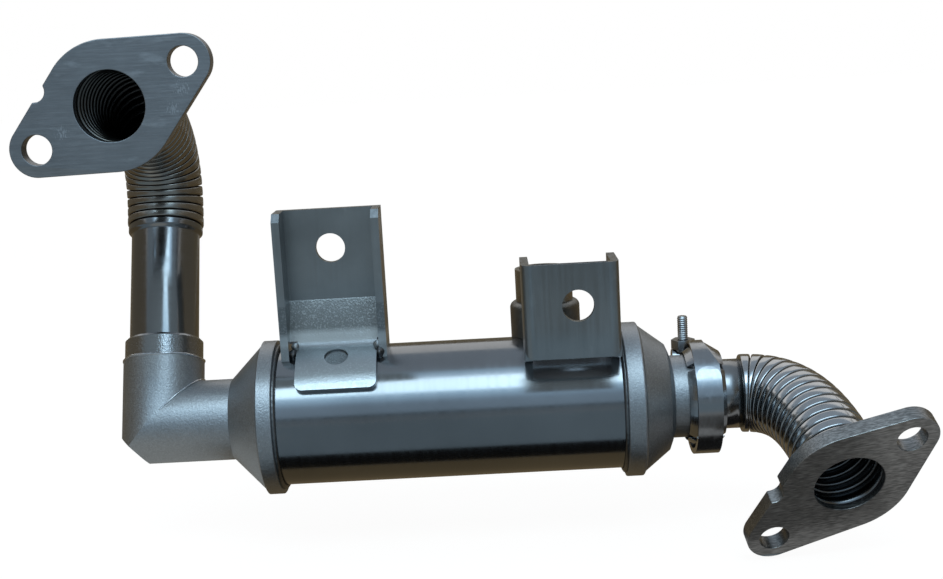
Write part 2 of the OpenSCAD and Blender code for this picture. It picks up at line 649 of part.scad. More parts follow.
// Half-width of the V at a radius, where its inner faces lie one clearance off the bevels
function vee(r) = gasket_t / 2 + vflange_rim + (vflange_r - r) + fit * sqrt(2);
module segment(i) color("lightgray") shell_frame() translate([band_x, 0, 0]) rotate([0, 90, 0]) {
    lip_r = spigot_r + bevel / 3;
    flat = vee(segment_r - segment_t);
    lip = vee(lip_r);
    side = segment_t * sqrt(2);
    start = 90 + segment_gap + (i - 1) * (segment_span + segment_space);
    rotate([0, 0, start]) rotate_extrude(angle = segment_span)
        polygon([[segment_r, -flat], [segment_r, flat], [lip_r, lip + side + flat - vee(segment_r)],
            [lip_r, lip], [segment_r - segment_t, flat], [segment_r - segment_t, -flat], [lip_r, -lip],
            [lip_r, -lip - side - flat + vee(segment_r)]]);
}
module band_frame() translate([band_x, 0, 0]) rotate([0, 90, 0]) children();
module band(r0, r1, a0, a1) rotate([0, 0, a0]) rotate_extrude(angle = a1 - a0)
    translate([r0, -strap_w / 2]) square([r1 - r0, strap_w]);
module clamp_strap() color("lightgray") shell_frame() difference() {
    union() {
        band_frame() band(strap_r, strap_outer, 90 + eye_angle, 450 - eye_angle);
        for (s = [-1, 1])
            translate([0, tbolt_y, s * trunnion_z]) along_x(tbolt_x - strap_w / 2)
                tube(eye_r, eye_ir, strap_w);
        band_frame() band(tail_r, tail_outer, 270 - tongue, 450 - eye_angle);
        intersection() {
            band_frame() band(tail_r, tail_outer, 270 - tail_end - lap, 270 - tongue + lap);
            translate([band_x, 0, 0]) rotate([90 - tongue, 0, 0]) cylinder(d = strap_w, h = 2 * tail_outer);
        }
    }
    for (s = [-1, 1])
        translate([0, tbolt_y, s * trunnion_z]) along_x(tbolt_x - strap_w)
            cylinder(r = eye_ir, h = 2 * strap_w);
    translate([band_x + strap_w / 2, -through / 2, strap_taper_z]) rotate([0, -strap_taper, 0]) cube(through);
    translate([tbolt_x, tbolt_y, -trunnion_z]) cylinder(r = tbolt_d / 2 + 4 * fit, h = through / 4);
    translate([tbolt_x, tbolt_y, trunnion_z]) cylinder(r = sleeve_r + 2 * fit, h = through / 4);
}
module clamp_trunnion() color("silver") shell_frame() difference() {
    union() {
        translate([0, tbolt_y, trunnion_z]) along_x(tbolt_x - strap_w / 2)
            cylinder(r = trunnion_r, h = strap_w);
        translate([tbolt_x, tbolt_y, trunnion_z]) cylinder(r = sleeve_r, h = sleeve_top - trunnion_z);
    }
    translate([tbolt_x, tbolt_y, 0]) cylinder(r = tbolt_d / 2 + fit, h = through);
}
module clamp_t_bolt() color("silver") shell_frame() {
    translate([0, tbolt_y, -trunnion_z]) along_x(tbolt_x - strap_w / 2) cylinder(r = trunnion_r, h = strap_w);
    translate([tbolt_x, tbolt_y, -trunnion_z]) cylinder(d = tbolt_d, h = tbolt_tip + trunnion_z);
}
module clamp_nut() color("silver") shell_frame() translate([tbolt_x, tbolt_y, sleeve_top]) difference() {
    cylinder(d = nut_across / cos(30), h = nut_h, $fn = 6);
    translate([0, 0, -past]) cylinder(r = tbolt_d / 2 + fit, h = nut_h + 2 * past);
}

// Turns +Z to the outlet's direction, with +X kept nearly along the shell
module outlet_frame() rotate([90 + outlet_dip, 0, 0]) rotate([0, 90 - outlet_turn, 0]) children();
module outlet_flange() color("dimgray") shell_frame() translate(outlet_face) outlet_frame()
    rotate([0, 0, outlet_clock]) translate([-outlet_bore_shift, 0, 0]) flange(outlet_bore_shift);
module outlet_bellows() color("gray") shell_frame() {
    start = [gasket_end + outlet_cuff, 0, 0];
    finish = outlet_face - flange_t * outlet_dir;
    across = unit(cross([1, 0, 0], finish - start));
    bellows([start, start + [outlet_lead[0], 0, 0], finish - outlet_lead[1] * outlet_dir, finish], across,
        outlet_cuff, flange_socket - fit);
}

inlet_flange();
inlet_bellows();
inlet_pipe();
inlet_header();
inlet_seam_weld();
shell();
outlet_seam_weld();
inlet_tube_sheet();
outlet_tube_sheet();
for (i = [0:len(TUBES) - 1]) gas_tube(i);
for (i = [0:baffles - 1]) baffle(i + 1);
coolant_inlet_boss();
coolant_inlet_nipple();
coolant_outlet_boss();
coolant_outlet_nipple();
tab_bracket();
bracket_plug_weld();
channel_bracket();
outlet_header();
joint_gasket();
outlet_v_flange();
clamp_strap();
for (i = [1:segment_count]) segment(i);
clamp_trunnion();
clamp_t_bolt();
clamp_nut();
outlet_bellows();
outlet_flange();
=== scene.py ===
import math

import bpy
from bpy.props import FloatProperty, FloatVectorProperty, IntProperty, PointerProperty
from mathutils import Matrix, Vector


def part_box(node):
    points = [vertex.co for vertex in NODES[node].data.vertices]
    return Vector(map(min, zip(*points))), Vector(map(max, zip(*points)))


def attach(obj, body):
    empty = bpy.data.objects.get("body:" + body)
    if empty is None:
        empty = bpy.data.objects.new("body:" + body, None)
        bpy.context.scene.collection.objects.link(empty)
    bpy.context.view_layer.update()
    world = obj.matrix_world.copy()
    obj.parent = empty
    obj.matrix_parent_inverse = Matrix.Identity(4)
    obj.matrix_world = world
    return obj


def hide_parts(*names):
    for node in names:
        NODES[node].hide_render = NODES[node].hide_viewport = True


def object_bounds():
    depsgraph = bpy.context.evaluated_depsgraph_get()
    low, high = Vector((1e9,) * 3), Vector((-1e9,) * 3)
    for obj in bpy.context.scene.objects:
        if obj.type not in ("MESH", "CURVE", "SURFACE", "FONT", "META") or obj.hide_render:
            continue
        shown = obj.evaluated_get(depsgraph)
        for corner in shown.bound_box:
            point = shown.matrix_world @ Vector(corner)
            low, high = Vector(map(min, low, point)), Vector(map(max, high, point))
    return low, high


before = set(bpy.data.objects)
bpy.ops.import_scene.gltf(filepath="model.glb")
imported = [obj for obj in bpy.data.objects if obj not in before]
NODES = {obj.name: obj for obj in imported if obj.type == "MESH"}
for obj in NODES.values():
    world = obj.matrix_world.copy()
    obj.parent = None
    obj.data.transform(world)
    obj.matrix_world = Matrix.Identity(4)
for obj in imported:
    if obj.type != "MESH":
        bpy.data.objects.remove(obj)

bl_info = {
    "name": "EGR cooler dresser",
    "version": (1, 0, 0),
    "blender": (4, 5, 0),
    "location": "3D View > Sidebar > Cooler",
    "description": "Dresses the solids of a gas cooler with bellows, threads, weld beads and metal finishes",
    "category": "Object",
}

CAD_BOX = [list(corner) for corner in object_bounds()]
TUBE_NODES = [name for name in NODES
              if name.startswith(("gas_tube_", "baffle_")) or name.endswith("tube_sheet")]
SEGMENT_NODES = [name for name in NODES if name.startswith("clamp_v_segment_")]
UPRIGHT = math.pi / 2
# Points closer than this count as one
MERGE_DISTANCE = 1e-5

# The point where the pipe's axis meets the shell's, and the ways that shell and pipe run from it
SHELL_AXIS = Vector((0.0, 0.0288, -0.1038))
SHELL_WAY = Vector((1, 0, 0))
PIPE_LEAN = math.radians(25.4)
PIPE_WAY = Vector((0.0, math.sin(PIPE_LEAN), math.cos(PIPE_LEAN)))
# How far along the pipe the collar's turned band starts, and the radius of the elbow
COLLAR_BAND = 0.0205
ELBOW_RADIUS = 0.0131

# The flanges: their thickness, the middles of their faces and the ways that these look
FLANGE_THICKNESS = 0.0052
INLET_FACE = Vector((0, 0, 0))
INLET_WAY = Vector((0, -1, 0))
OUTLET_FACE = Vector((0.2105, -0.0191, -0.1205))
OUTLET_TURN = math.radians(84)
OUTLET_DIP = math.radians(27.9)
OUTLET_WAY = Vector((math.cos(OUTLET_TURN), -math.sin(OUTLET_TURN) * math.cos(OUTLET_DIP),
                     -math.sin(OUTLET_TURN) * math.sin(OUTLET_DIP)))
# Middles and reaches of the places where the inlet flange's face was struck
KNOCKS = (((0.0218, 0.0, 0.0038), 0.0085), ((0.0187, 0.0, -0.0019), 0.0075),
          ((-0.0146, 0.0, -0.0073), 0.0075))

# The bellows: how far along pipe or shell the crests start, then the lengths of the curve's handles
# and of the plain cuffs, at the tube and at the flange
INLET_START = 0.0667
INLET_HANDLES = (0.027, 0.0478)
INLET_CUFFS = (0.00195, 0.00265)
OUTLET_START = 0.1869
OUTLET_HANDLES = (0.015, 0.0288)
OUTLET_CUFFS = (0.0112, 0.00265)
# Share of a pitch and share of the depth of the rings of one convolution, from root to root
CONVOLUTION = [(0.12, 0.0), (0.145, 0.10), (0.165, 0.40), (0.185, 0.70), (0.21, 0.88),
               (0.26, 0.96), (0.36, 0.99), (0.62, 1.0), (0.88, 0.99), (0.98, 0.96),
               (1.03, 0.88), (1.055, 0.70), (1.075, 0.40), (1.095, 0.10), (1.12, 0.0)]
# Share of a pitch after which the last convolution is cut off
LAST_RING = 0.93
# Painted light on the bellows: the brightness of a cuff, where the crests have 1, and the share of it that
# the inside of a bellows keeps as painted shade
CUFF_SHINE = 0.8
INSIDE_SHADE = 0.1

# The ragged lip under the collar's band: its radius, section and drop, then how uneven it is
LIP_RADIUS = 0.01298
LIP_SECTION = 0.00038
LIP_DROP = 0.0002
LIP_SWELL = 0.006
LIP_WAVE = 0.00016
LIP_RAG = 0.0001
RAG_TURNS = (3, 7, 13, 29, 53, 91)
# The seam in the elbow's mitre: its section, the cosine at which it starts, how thin it is there,
# and the further cosine over which it comes to its full section
SEAM_SECTION = 0.00052
SEAM_START = 0.1
SEAM_TIP = 0.1
SEAM_GROWTH = 0.5
# The weld beads on the shell: their radius, section, distance from the rim, ripple and wave
WELD_RADIUS = 0.0226
WELD_SECTION = 0.0008
WELD_INSET = 0.0003
WELD_RIPPLE = 0.006
WELD_WAVE = 0.004
# The tab bracket: the heights of its bends, then places and radii of its tack welds and webs
TAB_KNEE = -0.0661
TAB_FOOT = -0.0785
TACKS = ((0.0451, 0.0212, -0.0820), (0.0725, 0.0200, -0.0822))
TACK_RADIUS = 0.0017
WEBS = ((0.0459, 0.0218, -0.0796), (0.0720, 0.0210, -0.0799))
WEB_RADIUS = 0.0013
# The channel bracket's foot: its slope and the rounding of its edge
CHANNEL_FALL = math.tan(math.radians(15))
CHANNEL_ROUND = 0.0019
# The T-bolt: the radii of stud and bar, the depths of thread and tip as shares of the stud's radius,
# the length of the tip, and the rings in one turn of the thread
STUD_RADIUS = 0.00175
BAR_RADIUS = 0.00215
THREAD_CUT = 0.13
TIP_CUT = 0.2
TIP_LENGTH = 0.0006
TURN_RINGS = 6

# The camera: its turn, tilt and roll, its place, and its lens and sensor in millimetres
CAMERA_TURN = math.radians(0.91)
CAMERA_TILT = math.radians(9.85)
CAMERA_ROLL = math.radians(-3.19)
CAMERA_PLACE = (0.10964, -0.41273, 0.01148)
LENS_LENGTH = 53.45
SENSOR_WIDTH = 36.0
# The window: its place, the point that it faces, its width and height, and its colour
WINDOW_PLACE = (0.07, -0.60, 0.80)
WINDOW_AIM = Vector((0.10, 0.02, -0.09))
WINDOW_SIZE = (0.88, 0.46)
WINDOW_COLOUR = (0.75, 0.94, 1.0)
# The floor: how far it lies under the cooler, its glow, and the share of it that is glow where it is seen
FLOOR_DROP = 0.001
FLOOR_GLOW = 1.1
GLOW_SHARE = 0.85
# The sky around the window: its lean, its strength, and its colours at heights from 0 to 1
SKY_LEAN = math.radians(36)
SKY_STRENGTH = 2.2
SKY_STEPS = ((0.0, (0.19, 0.26, 0.34)), (0.06, (0.22, 0.31, 0.40)), (0.335, (0.50, 0.76, 1.00)),
             (0.767, (0.50, 0.68, 0.86)), (0.877, (0.34, 0.50, 0.64)), (1.0, (0.20, 0.25, 0.28)))
# Cards on the floor: name, middle, size, layer and colour; each layer lies this much above the last
CARD_LAYER = 0.0005
FLOOR_CARDS = (
    # Painted shadows: the black and dark cards under the cooler, under the outlet bellows and under the
    # outlet flange put their shadows on the floor into the reflections
    ("under_shadow_card", (0.09, -0.003), (0.15, 0.022), 3, (0.010, 0.010, 0.010)),
    ("elbow_card", (-0.03, -0.03), (0.09, 0.18), 2, (0.44, 0.46, 0.45)),
    ("bellows_shadow_card", (0.19, 0.020), (0.05, 0.034), 3, (0.015, 0.015, 0.015)),
    ("flange_card", (0.235, -0.035), (0.14, 0.13), 2, (0.33, 0.335, 0.335)),
    ("shade_card", (0.202, -0.040), (0.056, 0.052), 3, (0.11, 0.11, 0.108)),
    ("front_card", (0.1, -0.642), (2.6, 1.30), 1, (0.225, 0.295, 0.345)),
    ("rear_card", (0.1, 0.429), (2.0, 0.842), 1, (0.17, 0.13, 0.075)),
)
# Flags in front of the cooler and around the room: name, middle, size, turn and colour
FRONT_FLAGS = (
    ("front_flag", (0.1, -1.42, -0.045), (3.4, 0.21), (UPRIGHT, 0, 0), (0.24, 0.29, 0.33)),
    ("dark_flag", (0.1, -1.42, 0.116), (3.4, 0.112), (UPRIGHT, 0, 0), (0.14, 0.19, 0.23)),
    ("pale_flag", (0.1, -1.42, 0.396), (3.4, 0.448), (UPRIGHT, 0, 0), (0.42, 0.57, 0.72)),
    ("upper_flag", (0.1, -0.803, 1.043), (3.4, 1.5), (SKY_LEAN, 0, 0), (0.30, 0.37, 0.43)),
    # Painted shade: the next two dim cards beside the pipe darken its reflection where the flange above hides
    # the window
    ("pipe_shade_flag", (0.052, 0.0, -0.042), (0.056, 0.05), (UPRIGHT, -0.12, 0), (0.25, 0.30, 0.33)),
    ("pipe_shade_edge", (-0.021, 0.0, -0.042), (0.056, 0.05), (UPRIGHT, 0.12, 0), (0.25, 0.30, 0.33)),
    # Painted shade: the next two dark cards at the channel bracket put the shade inside it into the shell's
    # reflection
    ("bracket_shade_flag", (0.133, -0.0145, -0.065), (0.029, 0.030), (UPRIGHT, 0, 0), (0.19, 0.22, 0.235)),
    ("channel_shade_flag", (0.1331, 0.0140, -0.0535), (0.0234, 0.0165), (0, 0, 0), (0.07, 0.08, 0.09)),
)
ROOM_FLAGS = (
    ("side_flag", (0.95, 0.15, 0.62), (0.9, 1.9), (0, math.radians(-42), 0), (0.11, 0.115, 0.12)),
    ("back_flag", (0.1, 0.9, 0.10), (2.4, 0.50), (UPRIGHT, 0, 0), (0.18, 0.15, 0.10)),
    ("left_flag", (-0.9, -0.2, 0.20), (2.2, 0.70), (UPRIGHT, 0, UPRIGHT), (0.18, 0.155, 0.115)),
    ("right_flag", (1.1, -0.2, 0.20), (2.2, 0.70), (UPRIGHT, 0, UPRIGHT), (0.18, 0.155, 0.115)),
    ("ceiling_flag", (0.1, 0.30, 0.95), (2.6, 0.92), (0, 0, 0), (0.40, 0.47, 0.55)),
)


def colour(label, value):
    """A colour that a user may change."""
    return FloatVectorProperty(name=label, description="Base colour of the " + label.lower(), subtype="COLOR",
                               size=3, min=0.0, max=1.0, default=value)


def length(label, words, value):
    """A size in metres that a user may change."""
    return FloatProperty(name=label, description=words, default=value, min=0.0, unit="LENGTH", precision=5)


class CoolerSizes(bpy.types.PropertyGroup):
    """Sizes of the pieces that are modelled here."""
    crest_radius: length("Crest radius", "Outer radius of a bellows at its crests", 0.0126)
    root_radius: length("Root radius", "Outer radius of a bellows at its roots", 0.011)
    cuff_radius: length("Cuff radius", "Outer radius of the plain ends of a bellows", 0.0112)
    bellows_wall: length("Bellows wall", "Thickness of the bellows sheet", 0.0005)
    bellows_pitch: length("Bellows pitch", "Distance between two crests", 0.0034)
    edge_round: length("Edge round", "Width of the broken edges on machined and cut pieces", 0.00035)
    thread_pitch: length("Thread pitch", "Distance between two turns of the clamp bolt's thread", 0.0007)
    bellows_sides: IntProperty(name="Bellows sides", description="Points around a bellows",
                               default=72, min=24)


class CoolerFinishes(bpy.types.PropertyGroup):
    """Base colours of the finishes."""
    inlet_flange: colour("Inlet flange", (0.252, 0.262, 0.273))
    outlet_flange: colour("Outlet flange", (0.245, 0.242, 0.236))
    tube: colour("Drawn tube", (0.240, 0.250, 0.260))
    casting: colour("Blasted casting", (0.320, 0.332, 0.344))
    bracket: colour("Bracket sheet", (0.270, 0.290, 0.300))
    clamp: colour("Clamp band", (0.300, 0.314, 0.328))
    inlet_bellows: colour("Inlet bellows", (0.240, 0.232, 0.215))
    outlet_bellows: colour("Outlet bellows", (0.330, 0.340, 0.347))
    port: colour("Coolant ports", (0.250, 0.240, 0.220))
    weld: colour("Weld beads", (0.170, 0.175, 0.180))
    bolt: colour("Zinc bolt", (0.400, 0.410, 0.420))
    inner: colour("Tube bundle", (0.420, 0.425, 0.430))


class CoolerStage(bpy.types.PropertyGroup):
    """Light levels of the stage."""
    window_power: FloatProperty(name="Window power", description="Power of the long soft light in front",
                                default=3.5, min=0.0, unit="POWER")
    fill: FloatProperty(name="Fill", description="Strength of the even light from all round",
                        default=0.5, min=0.0)


def sizes():
    return bpy.context.scene.cooler_sizes


def finishes():
    return bpy.context.scene.cooler_finishes


class Tree:
    """Shader nodes of one material, with object coordinates ready for its patterns."""

    def __init__(self, name):
        self.material = bpy.data.materials.new(name)
        self.material.use_nodes = True
        self.tree = self.material.node_tree
        self.shader = self.tree.nodes["Principled BSDF"]
        self.place = self.add("ShaderNodeTexCoord").outputs["Object"]

    def add(self, kind, **settings):
        node = self.tree.nodes.new(kind)
        for key, value in settings.items():
            setattr(node, key, value)
        return node

    def join(self, source, target):
        self.tree.links.new(source, target)

    def moved(self, scale=(1, 1, 1), turn=(0, 0, 0)):
        """Object coordinates stretched and turned for one pattern."""
        node = self.add("ShaderNodeMapping")
        node.inputs["Scale"].default_value = scale
        node.inputs["Rotation"].default_value = turn
        self.join(self.place, node.inputs["Vector"])
        return node.outputs["Vector"]

    def noise(self, scale, detail=3.0, stretch=(1, 1, 1), turn=(0, 0, 0)):
        node = self.add("ShaderNodeTexNoise")
        node.inputs["Scale"].default_value = scale
        node.inputs["Detail"].default_value = detail
        self.join(self.moved(stretch, turn), node.inputs["Vector"])
        return node.outputs["Fac"]

    def span(self, source, low, high, start=0.0, end=1.0):
        """Maps a value from start..end to low..high, held at its ends."""
        node = self.add("ShaderNodeMapRange")
        for key, value in (("From Min", start), ("From Max", end), ("To Min", low), ("To Max", high)):
            node.inputs[key].default_value = value
        self.join(source, node.inputs["Value"])
        return node.outputs["Result"]

    def near(self, point, radius):
        """1 at a point of the object, falling to 0 at a distance from it."""
        away = self.add("ShaderNodeVectorMath", operation="DISTANCE")
        away.inputs[1].default_value = point
        self.join(self.place, away.inputs[0])
        return self.span(away.outputs["Value"], 1.0, 0.0, 0.0, radius)

    def axis(self, name):
        """One of the object's own coordinates."""
        split = self.add("ShaderNodeSeparateXYZ")
        self.join(self.place, split.inputs[0])
        return split.outputs[name]

    def product(self, first, second):
        node = self.add("ShaderNodeMath", operation="MULTIPLY")
        self.join(first, node.inputs[0])
        self.join(second, node.inputs[1])
        return node.outputs[0]

    def blend(self, share, first, second):
        """Mixes two colours, each a triple or a socket."""
        node = self.add("ShaderNodeMix", data_type="RGBA")
        self.join(share, node.inputs[0])
        for socket, value in ((node.inputs[6], first), (node.inputs[7], second)):
            if isinstance(value, bpy.types.NodeSocket):
                self.join(value, socket)
            else:
                socket.default_value = (*value, 1.0)
        return node.outputs[2]

    def bump(self, height, strength, distance, under=None):
        node = self.add("ShaderNodeBump")
        node.inputs["Strength"].default_value = strength
        node.inputs["Distance"].default_value = distance
        self.join(height, node.inputs["Height"])
        if under is not None:
            self.join(under, node.inputs["Normal"])
        return node.outputs["Normal"]

    def finish(self, base, rough, normal=None):
        self.shader.inputs["Metallic"].default_value = 1.0
        self.join(base, self.shader.inputs["Base Color"])
        self.join(rough, self.shader.inputs["Roughness"])
        if normal is not None:
            self.join(normal, self.shader.inputs["Normal"])
        return self.material


def shade(value, factor):
    return tuple(min(1.0, channel * factor) for channel in value)


def ground_plate(name, value, turn, rough, contrast, streaks, wear, nicks):
    """Plate ground in one direction, with clouds, scuffs, worn spots, and bright nicks near some points."""
    tree = Tree(name)
    lines = tree.noise(2000, detail=2.0, stretch=(0.03, 1, 1), turn=turn)
    clouds = tree.noise(70, detail=4.0)
    smears = tree.noise(260, detail=5.0, stretch=(0.35, 1, 1), turn=(0.3, 0.9, 0.5))
    scuffs = tree.span(smears, 0.0, 1.0, 0.60, 0.72)
    dark, pale = shade(value, 1 - contrast), shade(value, 1 + contrast)
    base = tree.blend(tree.span(clouds, 0, 1, 0.3, 0.7), dark, pale)
    base = tree.blend(tree.span(lines, 0, streaks, 0.5, 0.7), base, shade(value, 1.5))
    base = tree.blend(tree.span(scuffs, 0, 0.45), base, shade(value, 1.9))
    for scratch_turn in ((0.4, 0.6, 0.5), (0.9, -0.5, 1.1)):
        scratches = tree.noise(2600, detail=3.0, stretch=(0.10, 1, 1), turn=scratch_turn)
        base = tree.blend(tree.span(scratches, 0, wear, 0.50, 0.66), base, shade(value, 2.2))
        base = tree.blend(tree.span(scratches, wear, 0, 0.34, 0.48), base, shade(value, 0.6))
    specks = tree.noise(2400, detail=2.0, stretch=(1, 1, 0.4), turn=(0, 0.8, 0))
    for point, radius in nicks:
        struck = tree.product(tree.near(point, radius), specks)
        base = tree.blend(tree.span(struck, 0, 0.5, 0.42, 0.50), base, shade(value, 2.2))
    roughness = tree.span(lines, rough - 0.05, rough + 0.09, 0.3, 0.7)
    fine = tree.bump(lines, strength=0.25, distance=0.00006)
    return tree.finish(base, roughness, tree.bump(scuffs, strength=0.15, distance=0.00008, under=fine))


def drawn_tube(name, value, along):
    """Drawn and polished tube, with faint lines along it and hoops around it."""
    tree = Tree(name)
    around = tuple(1.0 if part < 0.5 else 0.05 for part in along)
    draw = tree.noise(500, detail=2.0, stretch=along)
    hoops = tree.noise(700, detail=2.0, stretch=around)
    smudge = tree.noise(28, detail=4.0)
    base = tree.blend(tree.span(smudge, 0, 1, 0.3, 0.7), shade(value, 0.9), shade(value, 1.1))
    roughness = tree.span(hoops, 0.15, 0.21, 0.3, 0.7)
    ringed = tree.bump(hoops, strength=0.05, distance=0.00004)
    return tree.finish(base, roughness, tree.bump(draw, strength=0.10, distance=0.00004, under=ringed))


def blasted(name, value):
    """Casting blasted with fine beads, with a turned band around the pipe at the top of its collar."""
    tree = Tree(name)
    grain = tree.noise(2400, detail=2.0)
    lumps = tree.noise(1500, detail=3.0)
    clouds = tree.noise(40, detail=2.0)
    rings = tree.noise(1500, detail=2.0, stretch=(0.02, 0.5, 1), turn=(PIPE_LEAN, 0, 0))
    along = tree.add("ShaderNodeVectorMath", operation="DOT_PRODUCT")
    along.inputs[1].default_value = PIPE_WAY
    tree.join(tree.place, along.inputs[0])
    foot = SHELL_AXIS.dot(PIPE_WAY) + COLLAR_BAND
    above = tree.span(along.outputs["Value"], 0.0, 1.0, foot - 0.0001, foot + 0.0001)
    beside = tree.span(tree.axis("X"), 1.0, 0.0, 0.0135, 0.0145)
    turned = tree.product(above, beside)
    base = tree.blend(tree.span(clouds, 0, 1, 0.3, 0.7), shade(value, 0.94), shade(value, 1.06))
    base = tree.blend(tree.span(grain, 0, 0.5, 0.45, 0.75), base, shade(value, 1.6))
    base = tree.blend(tree.span(lumps, 0, 0.16, 0.52, 0.66), base, shade(value, 1.6))
    base = tree.blend(tree.span(lumps, 0.16, 0, 0.36, 0.48), base, shade(value, 0.6))
    base = tree.blend(turned, base, shade(value, 0.95))
    rough = tree.add("ShaderNodeMix")
    tree.join(turned, rough.inputs[0])
    tree.join(tree.span(lumps, 0.40, 0.50, 0.3, 0.7), rough.inputs[2])
    tree.join(tree.span(rings, 0.16, 0.28, 0.3, 0.7), rough.inputs[3])
    coarse = tree.bump(lumps, strength=0.45, distance=0.00016)
    fine = tree.bump(grain, strength=0.50, distance=0.00012, under=coarse)
    return tree.finish(base, rough.outputs[0], fine)


def sheet_metal(name, value, rough, blast_top=None, foot_top=None):
    """Rolled sheet with clouds and handling marks.

    Where heights are given, it is blasted below the first and painted darker there as shade; below the second
    it is painted paler as light, with a painted highlight along the bend there.
    """
    tree = Tree(name)
    roll = tree.noise(1200, detail=2.0, stretch=(1, 1, 0.04))
    clouds = tree.noise(60, detail=4.0)
    marks = tree.span(tree.noise(190, detail=5.0, stretch=(1, 1, 0.5)), 0.0, 1.0, 0.62, 0.74)
    base = tree.blend(tree.span(clouds, 0, 1, 0.3, 0.7), shade(value, 0.88), shade(value, 1.14))
    base = tree.blend(tree.span(marks, 0, 0.3), base, shade(value, 1.7))
    roughness = tree.span(roll, rough - 0.05, rough + 0.07, 0.3, 0.7)
    normal = tree.bump(roll, strength=0.15, distance=0.00005)
    if blast_top is not None:
        height = tree.axis("Z")
        below = tree.span(height, 1.0, 0.0, blast_top - 0.0003, blast_top + 0.0003)
        # The foot's mask, for painted light
        foot = tree.span(height, 0.75, 0.0, foot_top - 0.0010, foot_top + 0.0010)
        pits = tree.product(below, tree.noise(1700, detail=2.0))
        # The bend's mask, for a painted highlight
        bend_highlight = tree.product(tree.span(height, 0.0, 1.0, foot_top - 0.0012, foot_top),
                            tree.span(height, 0.65, 0.0, foot_top + 0.0022, foot_top + 0.0040))
        # Painted shade below the knee, painted light on the foot and a painted highlight along its bend
        base = tree.blend(tree.span(below, 0, 0.8), base, shade(value, 0.72))
        base = tree.blend(foot, base, shade(value, 1.6))
        base = tree.blend(bend_highlight, base, shade(value, 2.5))
        base = tree.blend(tree.span(pits, 0, 0.45, 0.52, 0.70), base, shade(value, 2.0))
        normal = tree.bump(pits, strength=0.5, distance=0.00015, under=normal)
    return tree.finish(base, roughness, normal)


def corrugated(name, value, rough):
    """Formed bellows sheet, with painted shade in the roots and painted highlights on the crests."""
    tree = Tree(name)
    crest = tree.add("ShaderNodeAttribute", attribute_name="crest").outputs["Fac"]
    specks = tree.noise(320, detail=4.0)
    # Painted light: dark in the roots as shade and bright on the crests as highlight
    base = tree.blend(crest, shade(value, 0.45), shade(value, 1.25))
    base = tree.blend(tree.span(specks, 0, 0.35, 0.5, 0.7), base, shade(value, 0.7))
    roughness = tree.span(crest, rough + 0.12, rough)
    return tree.finish(base, roughness, tree.bump(specks, strength=0.08, distance=0.00006))


def plain_steel(name, value, rough, grain=700):
    """Turned or plated steel with fine marks and slight stains."""
    tree = Tree(name)
    marks = tree.noise(grain, detail=3.0)
    stains = tree.noise(90, detail=4.0)
    base = tree.blend(tree.span(stains, 0, 1, 0.35, 0.65), shade(value, 0.75), shade(value, 1.15))
    roughness = tree.span(marks, rough - 0.06, rough + 0.08, 0.3, 0.7)
    return tree.finish(base, roughness, tree.bump(marks, strength=0.20, distance=0.00006))


def deselect():
    if bpy.context.object is not None and bpy.context.object.mode != "OBJECT":
        bpy.ops.object.mode_set(mode="OBJECT")
    bpy.ops.object.select_all(action="DESELECT")


def take(piece):
    """Makes one object the only selected one and the active one."""
    deselect()
    piece.select_set(True)
    bpy.context.view_layer.objects.active = piece


def apply(piece, kind, **settings):
    """Adds a modifier with these settings and applies it."""
    take(piece)
    modifier = piece.modifiers.new(kind.title(), kind)
    for key, value in settings.items():
        setattr(modifier, key, value)
    bpy.ops.object.modifier_apply(modifier=modifier.name)


def settle(piece, material, slot, *nodes):
    """Gives a finished piece its material and its body, and hides the nodes that it stands for."""
    piece.data.materials.clear()
    piece.data.materials.append(material)
    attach(piece, "root")
    if nodes:
        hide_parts(*nodes)


def paint(node, material):
    """Gives a kept CAD node its finish."""
    node.data.materials.clear()
    node.data.materials.append(material)


def copied(node_name):
    """A copy of a node with merged points and faces."""
    node = NODES[node_name]
    piece = bpy.data.objects.new(node_name + "_dressed", node.data.copy())
    bpy.context.scene.collection.objects.link(piece)
    take(piece)
    bpy.ops.object.mode_set(mode="EDIT")
    bpy.ops.mesh.select_all(action="SELECT")
    bpy.ops.mesh.remove_doubles(threshold=MERGE_DISTANCE)
    bpy.ops.mesh.dissolve_limited(angle_limit=math.radians(0.3))
    bpy.ops.object.mode_set(mode="OBJECT")
    return piece


def dressed(node_name, material, slot, width, crease=35, limit=38, piece=None):
    """A copy of a node with broken edges, which stands for the node."""
    piece = piece or copied(node_name)
    if width > 0:
        apply(piece, "BEVEL", width=width, segments=2, limit_method="ANGLE", angle_limit=math.radians(limit),
              harden_normals=False)
    take(piece)
    bpy.ops.object.shade_smooth()
    bpy.ops.object.mode_set(mode="EDIT")
    bpy.ops.mesh.select_mode(type="EDGE")
    bpy.ops.mesh.select_all(action="DESELECT")
    bpy.ops.mesh.edges_select_sharp(sharpness=math.radians(crease))
    bpy.ops.mesh.mark_sharp()
    bpy.ops.object.mode_set(mode="OBJECT")
    apply(piece, "WEIGHTED_NORMAL", mode="FACE_AREA", weight=50, keep_sharp=True)
    settle(piece, material, slot, node_name)
    return piece


def lump(place, radius, material):
    """A small uneven bead of weld metal."""
    deselect()
    bpy.ops.mesh.primitive_uv_sphere_add(segments=28, ring_count=14, radius=radius, location=place)
    bead = bpy.context.active_object
    bpy.ops.object.transform_apply(location=True, rotation=True, scale=True)
    for point in bead.data.vertices:
        away = point.co - place
        ripple = math.sin(2600 * away.x + 1) + math.sin(3100 * away.y + 2) + math.sin(2200 * away.z)
        point.co = place + away * (1 + 0.09 * ripple)
    bpy.ops.object.shade_smooth()
    bead.data.materials.append(material)
    return bead


def melt(piece, bead):
    """Makes a bead part of a piece."""
    take(piece)
    bead.select_set(True)
    bpy.ops.object.join()


